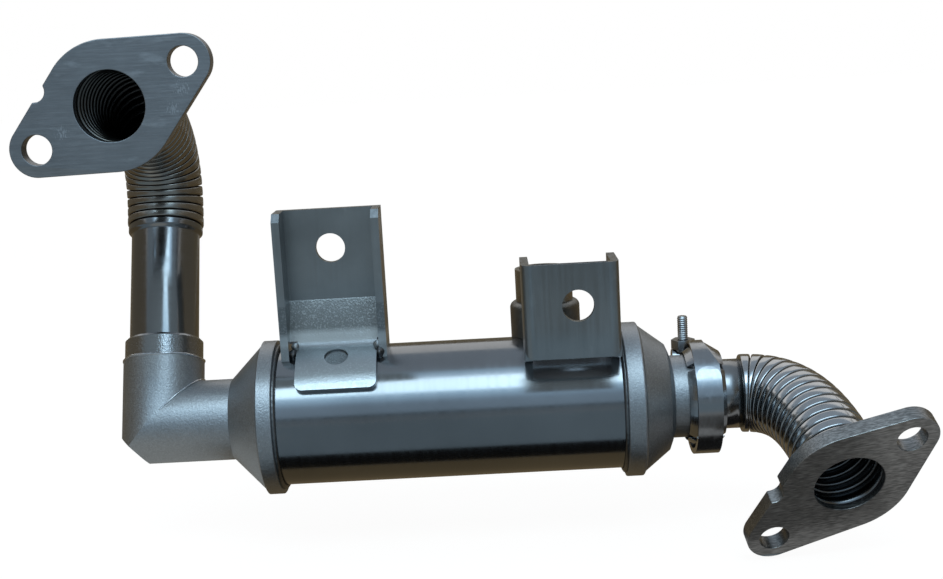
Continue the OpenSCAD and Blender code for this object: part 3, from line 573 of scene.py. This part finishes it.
def torus(place, turn, radius, section, steps, sides):
    """A ring of round section, with its place and turn applied."""
    deselect()
    bpy.ops.mesh.primitive_torus_add(align="WORLD", location=place, rotation=turn, major_segments=steps,
                                     minor_segments=sides, major_radius=radius, minor_radius=section)
    bpy.ops.object.transform_apply(location=True, rotation=True, scale=True)
    return bpy.context.active_object


def ring_tube(name, rings, sides):
    """A tube along X, extruded ring by ring from a circle; each ring is (x, radius)."""
    deselect()
    bpy.ops.mesh.primitive_circle_add(vertices=sides, radius=rings[0][1], location=(rings[0][0], 0, 0),
                                      rotation=(0, UPRIGHT, 0))
    tube = bpy.context.active_object
    tube.name = name
    bpy.ops.object.transform_apply(location=True, rotation=True, scale=True)
    bpy.ops.object.mode_set(mode="EDIT")
    bpy.ops.mesh.select_all(action="SELECT")
    extend(rings)
    bpy.ops.object.mode_set(mode="OBJECT")
    return tube


def extend(rings):
    """Extrudes the selected loop through the rings that follow the first."""
    for (x, radius), (next_x, next_radius) in zip(rings, rings[1:]):
        bpy.ops.mesh.extrude_region_move(TRANSFORM_OT_translate={"value": (next_x - x, 0, 0)})
        grow = next_radius / radius
        bpy.ops.transform.resize(value=(1, grow, grow), center_override=(next_x, 0, 0))


def select_points(piece, test):
    """Selects the points that pass a test, then opens edit mode on them."""
    take(piece)
    bpy.ops.object.mode_set(mode="EDIT")
    bpy.ops.mesh.select_mode(type="VERT")
    bpy.ops.mesh.select_all(action="DESELECT")
    bpy.ops.object.mode_set(mode="OBJECT")
    for point in piece.data.vertices:
        point.select = test(point.co)
    bpy.ops.object.mode_set(mode="EDIT")


def bezier_length(points, steps=400):
    """Length of a cubic curve."""
    def at(t):
        s = 1 - t
        return s ** 3 * points[0] + 3 * s * s * t * points[1] + 3 * s * t * t * points[2] + t ** 3 * points[3]
    return sum((at((i + 1) / steps) - at(i / steps)).length for i in range(steps))


def bellows(name, points, cuffs):
    """A corrugated tube that is modelled straight, given its wall, and bent along a curve."""
    size = sizes()
    reach = bezier_length(points)
    count = round(reach / size.bellows_pitch)
    step = reach / count
    depth = size.crest_radius - size.root_radius
    rings = [(u * step, size.root_radius + h * depth) for u, h in CONVOLUTION]
    tube = ring_tube(name, rings, size.bellows_sides)
    apply(tube, "ARRAY", count=count, use_relative_offset=False, use_constant_offset=True,
          constant_offset_displace=(step, 0, 0), use_merge_vertices=True, merge_threshold=MERGE_DISTANCE)
    edge = (count - 1 + LAST_RING) * step
    select_points(tube, lambda co: co.x > edge)
    bpy.ops.mesh.delete(type="VERT")
    first, last = rings[0], max(r for r in rings if r[0] < LAST_RING * step)
    last = (last[0] + (count - 1) * step, last[1])
    # The last crest falls to its cuff in short rings, and the first root runs into the other cuff
    cuff, slack = size.cuff_radius, 0.01 * step
    select_points(tube, lambda co: co.x > last[0] - slack)
    extend([last, (reach - 0.06 * step, last[1] - 0.1 * depth), (reach - 0.02 * step, cuff * 1.01),
            (reach, cuff), (reach + cuffs[1], cuff)])
    select_points(tube, lambda co: co.x < first[0] + slack)
    extend([first, (0.05 * step, size.root_radius * 1.005), (0.0, cuff), (-cuffs[0], cuff)])
    bpy.ops.mesh.select_all(action="SELECT")
    bpy.ops.mesh.normals_make_consistent(inside=False)
    bpy.ops.object.mode_set(mode="OBJECT")
    # This attribute paints light and shade on the bellows: 1 on the crests, 0 in the roots and a set
    # brightness on the cuffs
    crest = tube.data.attributes.new("crest", "FLOAT", "POINT")
    crest.data.foreach_set("value", [CUFF_SHINE if not 0.0 < v.co.x < reach else
                                     max(0.0, (math.hypot(v.co.y, v.co.z) - size.root_radius) / depth)
                                     for v in tube.data.vertices])
    outer = len(tube.data.vertices)
    apply(tube, "SOLIDIFY", thickness=size.bellows_wall, offset=-1.0)
    # Painted shade: the inside of the bellows keeps only a share of it
    for inner in tube.data.attributes["crest"].data[outer:]:
        inner.value *= INSIDE_SHADE
    deselect()
    bpy.ops.curve.primitive_bezier_curve_add(location=(0, 0, 0))
    path = bpy.context.active_object
    path.data.dimensions = "3D"
    path.data.resolution_u = 96
    start, end = path.data.splines[0].bezier_points
    for knot in (start, end):
        knot.handle_left_type = knot.handle_right_type = "FREE"
    start.co, start.handle_right, start.handle_left = points[0], points[1], 2 * points[0] - points[1]
    end.co, end.handle_left, end.handle_right = points[3], points[2], 2 * points[3] - points[2]
    apply(tube, "CURVE", object=path, deform_axis="POS_X")
    bpy.data.objects.remove(path)
    take(tube)
    bpy.ops.object.shade_smooth()
    return tube


class COOLER_OT_flanges(bpy.types.Operator):
    """Breaks the edges of both flanges and grinds their faces"""
    bl_idname = "cooler.flanges"
    bl_label = "Flanges"

    def execute(self, context):
        width = sizes().edge_round
        satin = ground_plate("flange_satin", finishes().inlet_flange, turn=(0, 0.5, 0), rough=0.40,
                             contrast=0.10, streaks=0.2, wear=0.06, nicks=KNOCKS)
        brushed = ground_plate("flange_brushed", finishes().outlet_flange, turn=(0.4, -0.75, 0.2), rough=0.36,
                               contrast=0.28, streaks=0.5, wear=0.45, nicks=())
        dressed("inlet_flange", satin, "flange_steel", width)
        dressed("outlet_flange", brushed, "flange_steel", width)
        return {"FINISHED"}


class COOLER_OT_bellows(bpy.types.Operator):
    """Models both bellows and bends them between their tubes and flanges"""
    bl_idname = "cooler.bellows"
    bl_label = "Bellows"

    def execute(self, context):
        start = SHELL_AXIS + INLET_START * PIPE_WAY
        end = INLET_FACE - FLANGE_THICKNESS * INLET_WAY
        points = [start, start + INLET_HANDLES[0] * PIPE_WAY, end - INLET_HANDLES[1] * INLET_WAY, end]
        inlet = bellows("inlet_bellows_formed", points, INLET_CUFFS)
        dull = corrugated("bellows_dull", finishes().inlet_bellows, rough=0.26)
        settle(inlet, dull, "inlet_bellows_steel", "inlet_bellows")
        start = SHELL_AXIS + OUTLET_START * SHELL_WAY
        end = OUTLET_FACE - FLANGE_THICKNESS * OUTLET_WAY
        points = [start, start + OUTLET_HANDLES[0] * SHELL_WAY, end - OUTLET_HANDLES[1] * OUTLET_WAY, end]
        outlet = bellows("outlet_bellows_formed", points, OUTLET_CUFFS)
        bright = corrugated("bellows_bright", finishes().outlet_bellows, rough=0.15)
        settle(outlet, bright, "outlet_bellows_steel", "outlet_bellows")
        return {"FINISHED"}


class COOLER_OT_tubes(bpy.types.Operator):
    """Finishes the pipe and the shell as drawn tube"""
    bl_idname = "cooler.tubes"
    bl_label = "Pipe and shell"

    def execute(self, context):
        value, width = finishes().tube, sizes().edge_round
        dressed("inlet_pipe", drawn_tube("pipe_polished", value, (1, 1, 0.03)), "polished_steel", 0.6 * width)
        dressed("shell", drawn_tube("shell_polished", value, (0.03, 1, 1)), "polished_steel", 0.0)
        return {"FINISHED"}


class COOLER_OT_castings(bpy.types.Operator):
    """Finishes both headers as blasted castings, with a ragged lip and a fine seam on the elbow"""
    bl_idname = "cooler.castings"
    bl_label = "Headers"

    def execute(self, context):
        material = blasted("casting_blasted", finishes().casting)
        width = sizes().edge_round
        elbow = dressed("inlet_header", material, "blasted_casting", width, crease=9, limit=80)
        dressed("outlet_header", material, "blasted_casting", width, crease=12, limit=44)
        # Painted highlight: the lip and the seam get a base colour paler than the casting's, besides a
        # smoother finish
        bright = plain_steel("collar_lip", shade(finishes().casting, 1.7), rough=0.22, grain=900)
        self.burr(elbow, bright)
        self.seam(elbow, bright)
        return {"FINISHED"}

    def seam(self, elbow, bright):
        """The fine raised seam in the inner corner of the elbow's mitre"""
        side, normal = SHELL_WAY.cross(PIPE_WAY), (SHELL_WAY - PIPE_WAY).normalized()
        bead = torus((0, 0, 0), (0, 0, 0), ELBOW_RADIUS, SEAM_SECTION, steps=200, sides=8)
        select_points(bead, lambda co: co.x < SEAM_START * ELBOW_RADIUS)
        bpy.ops.mesh.delete(type="VERT")
        bpy.ops.mesh.select_all(action="SELECT")
        bpy.ops.mesh.fill_holes(sides=0)
        bpy.ops.object.mode_set(mode="OBJECT")
        for point in bead.data.vertices:
            angle = math.atan2(point.co.y, point.co.x)
            full = min(1.0, SEAM_TIP + (math.cos(angle) - SEAM_START) / SEAM_GROWTH)
            full *= 1 + 0.05 * math.sin(31 * angle) + 0.04 * math.sin(47 * angle + 1)
            reach = ELBOW_RADIUS + full * (math.hypot(point.co.x, point.co.y) - ELBOW_RADIUS)
            point.co = (SHELL_AXIS + reach * math.cos(angle) * (SHELL_WAY + PIPE_WAY)
                        + reach * math.sin(angle) * side + full * point.co.z * normal)
        take(bead)
        bpy.ops.object.shade_smooth()
        bead.data.materials.append(bright)
        melt(elbow, bead)

    def burr(self, elbow, bright):
        """The ragged lip that the turning tool left where the collar's turned band ends"""
        lip = torus((0, 0, COLLAR_BAND - LIP_DROP), (0, 0, 0), LIP_RADIUS, LIP_SECTION, steps=320, sides=10)
        for point in lip.data.vertices:
            angle = math.atan2(point.co.y, point.co.x)
            rag = sum(math.sin(turns * angle + turns * turns) / turns ** 0.5 for turns in RAG_TURNS)
            point.co.x *= 1 + LIP_SWELL * rag
            point.co.y *= 1 + LIP_SWELL * rag
            point.co.z += LIP_WAVE * math.sin(5 * angle) + LIP_RAG * rag
        bpy.ops.transform.rotate(value=PIPE_LEAN, orient_axis="X", center_override=(0, 0, 0))
        bpy.ops.transform.translate(value=SHELL_AXIS)
        bpy.ops.object.transform_apply(location=True, rotation=True, scale=True)
        bpy.ops.object.shade_smooth()
        lip.data.materials.append(bright)
        melt(elbow, lip)


class COOLER_OT_welds(bpy.types.Operator):
    """Models the weld beads at both ends of the shell and finishes the plug weld"""
    bl_idname = "cooler.welds"
    bl_label = "Welds"

    def execute(self, context):
        material = plain_steel("weld_bead", finishes().weld, rough=0.38, grain=1500)
        for node, side in (("inlet_seam_weld", 1), ("outlet_seam_weld", -1)):
            low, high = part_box(node)
            x = low.x if side > 0 else high.x
            place = (x + side * WELD_INSET, SHELL_AXIS.y, SHELL_AXIS.z)
            bead = torus(place, (0, UPRIGHT, 0), WELD_RADIUS, WELD_SECTION, steps=288, sides=10)
            bead.name = node + "_bead"
            for point in bead.data.vertices:
                y, z = point.co.y - SHELL_AXIS.y, point.co.z - SHELL_AXIS.z
                angle = math.atan2(z, y)
                ripple = WELD_RIPPLE * abs(math.sin(36 * angle))
                grow = 1.0 + ripple + WELD_WAVE * math.sin(5 * angle + side)
                point.co.y, point.co.z = SHELL_AXIS.y + y * grow, SHELL_AXIS.z + z * grow
            take(bead)
            bpy.ops.object.shade_smooth()
            settle(bead, material, "weld_metal", node)
        plug = plain_steel("plug_weld", finishes().bracket, rough=0.3, grain=1500)
        dressed("bracket_plug_weld", plug, "weld_metal", sizes().edge_round)
        return {"FINISHED"}


class COOLER_OT_brackets(bpy.types.Operator):
    """Finishes both brackets as bent sheet, one with tack welds and webs, one with a rounded foot"""
    bl_idname = "cooler.brackets"
    bl_label = "Brackets"

    def execute(self, context):
        value, width = finishes().bracket, sizes().edge_round
        plain = sheet_metal("bracket_sheet", value, rough=0.33)
        # This finish paints shade below the knee and light on the foot and along its bend
        blast_and_painted_light = sheet_metal("bracket_blasted_painted_light", value, rough=0.33, blast_top=TAB_KNEE, foot_top=TAB_FOOT)
        tab = dressed("tab_bracket", blast_and_painted_light, "bracket_steel", width, crease=22)
        tack = plain_steel("bracket_tack", finishes().weld, rough=0.30, grain=1500)
        for places, radius, material in ((TACKS, TACK_RADIUS, tack), (WEBS, WEB_RADIUS, blast_and_painted_light)):
            for place in places:
                melt(tab, lump(Vector(place), radius, material))
        channel = copied("channel_bracket")
        self.round_foot(channel)
        dressed("channel_bracket", plain, "bracket_steel", width, crease=30, piece=channel)
        return {"FINISHED"}

    def round_foot(self, channel):
        """Rounds the outer edge along the foot of the channel"""
        low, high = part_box("channel_bracket")
        side, reach, flat = 0.002, 0.005, 2e-5

        def rise(co):
            return co.z + (co.y - low.y) * CHANNEL_FALL

        foot = max(rise(v.co) for v in channel.data.vertices if v.co.z < low.z + reach)
        select_points(channel, lambda co: abs(rise(co) - foot) < flat and co.y < low.y + reach
                      and (co.y < low.y + side or not low.x + side < co.x < high.x - side))
        bpy.ops.mesh.select_mode(type="EDGE")
        bpy.ops.mesh.bevel(offset=CHANNEL_ROUND, segments=5, affect="EDGES", clamp_overlap=True)
        bpy.ops.object.mode_set(mode="OBJECT")


class COOLER_OT_clamp(bpy.types.Operator):
    """Finishes the V-band clamp and cuts the thread of its bolt"""
    bl_idname = "cooler.clamp"
    bl_label = "Clamp"

    def execute(self, context):
        band = sheet_metal("clamp_bright", finishes().clamp, rough=0.20)
        zinc = plain_steel("bolt_zinc", finishes().bolt, rough=0.30)
        width = 0.5 * sizes().edge_round
        for name in ["clamp_strap", "outlet_v_flange", *SEGMENT_NODES]:
            dressed(name, band, "clamp_steel", width)
        for name in ("clamp_trunnion", "clamp_nut"):
            dressed(name, zinc, "bolt_zinc", width)
        paint(NODES["joint_gasket"], plain_steel("gasket_plain", finishes().weld, rough=0.4))
        self.bolt(zinc)
        return {"FINISHED"}

    def bolt(self, zinc):
        """A T-bolt: a rolled thread over the whole stud, and a round cross bar"""
        low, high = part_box("clamp_t_bolt")
        middle, foot = (low + high) / 2, low.z + BAR_RADIUS
        pitch, height = sizes().thread_pitch, high.z - low.z - BAR_RADIUS
        steps = int(height / pitch * TURN_RINGS)
        rings = [(i * height / steps, STUD_RADIUS) for i in range(steps + 1)]
        stud = ring_tube("clamp_t_bolt_threaded", rings, 32)
        for point in stud.data.vertices:
            along, angle = point.co.x, math.atan2(point.co.z, point.co.y)
            turn = (along / pitch - angle / (2 * math.pi)) % 1.0
            cut = THREAD_CUT * (1 - abs(2 * turn - 1))
            taper = TIP_CUT * max(0.0, 1 - (height - along) / TIP_LENGTH)
            keep = 1 - max(cut, taper)
            x, y = middle.x - point.co.z * keep, middle.y + point.co.y * keep
            point.co = Vector((x, y, foot + along))
        select_points(stud, lambda co: co.z > high.z - 1e-6)
        bpy.ops.mesh.edge_face_add()
        bpy.ops.mesh.select_all(action="DESELECT")
        bpy.ops.mesh.primitive_cylinder_add(vertices=40, radius=BAR_RADIUS, depth=high.x - low.x,
                                            location=(middle.x, middle.y, foot), rotation=(0, UPRIGHT, 0))
        bpy.ops.mesh.inset(thickness=0.0003)
        bpy.ops.mesh.select_all(action="SELECT")
        bpy.ops.mesh.normals_make_consistent(inside=False)
        bpy.ops.object.mode_set(mode="OBJECT")
        take(stud)
        bpy.ops.object.shade_smooth_by_angle(angle=math.radians(40))
        settle(stud, zinc, "bolt_zinc", "clamp_t_bolt")


class COOLER_OT_ports(bpy.types.Operator):
    """Finishes the coolant bosses and nipples"""
    bl_idname = "cooler.ports"
    bl_label = "Coolant ports"

    def execute(self, context):
        boss = plain_steel("port_boss", finishes().port, rough=0.42)
        nipple = plain_steel("port_nipple", shade(finishes().port, 1.3), rough=0.32)
        for side in ("inlet", "outlet"):
            dressed("coolant_" + side + "_boss", boss, "port_steel", 0.6 * sizes().edge_round)
            dressed("coolant_" + side + "_nipple", nipple, "port_steel", 0.6 * sizes().edge_round)
        return {"FINISHED"}


class COOLER_OT_bundle(bpy.types.Operator):
    """Finishes the gas tubes, tube sheets and baffles inside"""
    bl_idname = "cooler.bundle"
    bl_label = "Tube bundle"

    def execute(self, context):
        material = plain_steel("bundle_steel", finishes().inner, rough=0.35)
        for name in TUBE_NODES:
            paint(NODES[name], material)
        return {"FINISHED"}


def seen_rays(tree):
    """1 for rays from the camera, from gloss and through glass, and 0 for light that falls on surfaces."""
    path = tree.nodes.new("ShaderNodeLightPath")
    first = tree.nodes.new("ShaderNodeMath")
    second = tree.nodes.new("ShaderNodeMath")
    first.operation = second.operation = "MAXIMUM"
    tree.links.new(path.outputs["Is Camera Ray"], first.inputs[0])
    tree.links.new(path.outputs["Is Glossy Ray"], first.inputs[1])
    tree.links.new(first.outputs[0], second.inputs[0])
    tree.links.new(path.outputs["Is Transmission Ray"], second.inputs[1])
    return second.outputs[0]


class COOLER_OT_stage(bpy.types.Operator):
    """Sets the floor, the light, the cards that the metal mirrors and the camera"""
    bl_idname = "cooler.stage"
    bl_label = "Stage"

    def execute(self, context):
        context.scene.view_settings.view_transform = "Standard"
        self.world(context)
        self.floor()
        self.lights(context)
        for name, middle, size, layer, value in FLOOR_CARDS:
            self.card(name, (*middle, CAD_BOX[0][2] + CARD_LAYER * layer), size, (0, 0, 0), value)
        for flag in FRONT_FLAGS:
            self.card(*flag)
        self.sky()
        for flag in ROOM_FLAGS:
            self.card(*flag)
        self.camera(context)
        return {"FINISHED"}

    def world(self, context):
        world = bpy.data.worlds.new("white_room")
        world.use_nodes = True
        tree = world.node_tree
        light = tree.nodes["Background"]
        light.inputs["Color"].default_value = (0.94, 0.97, 1.0, 1.0)
        light.inputs["Strength"].default_value = context.scene.cooler_stage.fill
        white = tree.nodes.new("ShaderNodeBackground")
        white.inputs["Color"].default_value = (1, 1, 1, 1)
        white.inputs["Strength"].default_value = 1.0
        mix = tree.nodes.new("ShaderNodeMixShader")
        tree.links.new(seen_rays(tree), mix.inputs[0])
        tree.links.new(light.outputs[0], mix.inputs[1])
        tree.links.new(white.outputs[0], mix.inputs[2])
        tree.links.new(mix.outputs[0], tree.nodes["World Output"].inputs["Surface"])
        context.scene.world = world

    def floor(self):
        deselect()
        bpy.ops.mesh.primitive_plane_add(size=8.0, location=(0.1, 0.0, CAD_BOX[0][2] - FLOOR_DROP))
        floor = bpy.context.active_object
        floor.name = "floor"
        material = bpy.data.materials.new("floor_white")
        material.use_nodes = True
        tree = material.node_tree
        shader = tree.nodes["Principled BSDF"]
        shader.inputs["Base Color"].default_value = (0.9, 0.9, 0.9, 1)
        shader.inputs["Roughness"].default_value = 0.9
        glow = tree.nodes.new("ShaderNodeEmission")
        glow.inputs["Strength"].default_value = FLOOR_GLOW
        share = tree.nodes.new("ShaderNodeMath")
        share.operation = "MULTIPLY"
        share.inputs[1].default_value = GLOW_SHARE
        tree.links.new(seen_rays(tree), share.inputs[0])
        mix = tree.nodes.new("ShaderNodeMixShader")
        tree.links.new(share.outputs[0], mix.inputs[0])
        tree.links.new(shader.outputs[0], mix.inputs[1])
        tree.links.new(glow.outputs[0], mix.inputs[2])
        tree.links.new(mix.outputs[0], tree.nodes["Material Output"].inputs["Surface"])
        floor.data.materials.append(material)

    def card(self, name, middle, size, turn, value):
        """A dim card or flag that only the metal's reflections show"""
        deselect()
        bpy.ops.mesh.primitive_plane_add(size=1.0, location=middle, rotation=turn)
        card = bpy.context.active_object
        card.name = name
        card.scale = (*size, 1)
        material = bpy.data.materials.new(name)
        material.use_nodes = True
        tree = material.node_tree
        glow = tree.nodes.new("ShaderNodeEmission")
        glow.inputs["Color"].default_value = (*value, 1)
        tree.links.new(glow.outputs[0], tree.nodes["Material Output"].inputs["Surface"])
        card.data.materials.append(material)
        card.visible_camera = card.visible_shadow = card.visible_diffuse = card.visible_transmission = False
        return card

    def sky(self):
        """The glow around the window, which fades above and below it"""
        card = self.card("sky", (0.115, -0.79, 1.025), (1.47, 1.5), (SKY_LEAN, 0, 0), (1, 1, 1))
        tree = card.data.materials[0].node_tree
        place = tree.nodes.new("ShaderNodeTexCoord")
        split = tree.nodes.new("ShaderNodeSeparateXYZ")
        height = tree.nodes.new("ShaderNodeMath")
        height.operation = "ADD"
        height.inputs[1].default_value = 0.5
        ramp = tree.nodes.new("ShaderNodeValToRGB")
        while len(ramp.color_ramp.elements) < len(SKY_STEPS):
            ramp.color_ramp.elements.new(0.5)
        for element, (at, value) in zip(ramp.color_ramp.elements, SKY_STEPS):
            element.position = at
            element.color = (*value, 1)
        glow = tree.nodes["Emission"]
        glow.inputs["Strength"].default_value = SKY_STRENGTH
        tree.links.new(place.outputs["Object"], split.inputs[0])
        tree.links.new(split.outputs["Y"], height.inputs[0])
        tree.links.new(height.outputs[0], ramp.inputs[0])
        tree.links.new(ramp.outputs["Color"], glow.inputs["Color"])

    def lights(self, context):
        lamp = bpy.data.lights.new("window", "AREA")
        lamp.shape = "RECTANGLE"
        lamp.size, lamp.size_y = WINDOW_SIZE
        lamp.energy = context.scene.cooler_stage.window_power
        lamp.color = WINDOW_COLOUR
        window = bpy.data.objects.new("window", lamp)
        window.location = WINDOW_PLACE
        window.rotation_euler = (WINDOW_AIM - window.location).to_track_quat("-Z", "Y").to_euler()
        context.scene.collection.objects.link(window)

    def camera(self, context):
        turn, tilt, roll = CAMERA_TURN, CAMERA_TILT, CAMERA_ROLL
        look = Vector((-math.sin(turn) * math.cos(tilt), math.cos(turn) * math.cos(tilt), -math.sin(tilt)))
        flat = Vector((math.cos(turn), math.sin(turn), 0))
        rise = flat.cross(look)
        right = math.cos(roll) * flat + math.sin(roll) * rise
        up = -math.sin(roll) * flat + math.cos(roll) * rise
        lens = bpy.data.cameras.new("camera")
        lens.sensor_fit = "HORIZONTAL"
        lens.sensor_width = SENSOR_WIDTH
        lens.lens = LENS_LENGTH
        lens.clip_start = 0.01
        camera = bpy.data.objects.new("camera", lens)
        place = Matrix((right, up, -look)).transposed().to_4x4()
        place.translation = CAMERA_PLACE
        camera.matrix_world = place
        context.scene.collection.objects.link(camera)
        context.scene.camera = camera


class COOLER_PT_panel(bpy.types.Panel):
    """Lists the steps that dress the cooler"""
    bl_idname = "COOLER_PT_panel"
    bl_label = "EGR cooler"
    bl_space_type = "VIEW_3D"
    bl_region_type = "UI"
    bl_category = "Cooler"

    def draw(self, context):
        for step in STEPS:
            self.layout.operator(step.bl_idname)
        for group in (context.scene.cooler_sizes, context.scene.cooler_finishes, context.scene.cooler_stage):
            for key in group.__annotations__:
                self.layout.prop(group, key)


STEPS = (COOLER_OT_flanges, COOLER_OT_bellows, COOLER_OT_tubes, COOLER_OT_castings, COOLER_OT_welds,
         COOLER_OT_brackets, COOLER_OT_clamp, COOLER_OT_ports, COOLER_OT_bundle, COOLER_OT_stage)
GROUPS = (("cooler_sizes", CoolerSizes), ("cooler_finishes", CoolerFinishes), ("cooler_stage", CoolerStage))


def register():
    for name, group in GROUPS:
        bpy.utils.register_class(group)
        setattr(bpy.types.Scene, name, PointerProperty(type=group))
    for step in (*STEPS, COOLER_PT_panel):
        bpy.utils.register_class(step)


def unregister():
    for step in (COOLER_PT_panel, *reversed(STEPS)):
        bpy.utils.unregister_class(step)
    for name, group in reversed(GROUPS):
        delattr(bpy.types.Scene, name)
        bpy.utils.unregister_class(group)


def main():
    register()
    bpy.ops.cooler.flanges()
    bpy.ops.cooler.bellows()
    bpy.ops.cooler.tubes()
    bpy.ops.cooler.castings()
    bpy.ops.cooler.welds()
    bpy.ops.cooler.brackets()
    bpy.ops.cooler.clamp()
    bpy.ops.cooler.ports()
    bpy.ops.cooler.bundle()
    bpy.ops.cooler.stage()


if __name__ == "__main__":
    main()
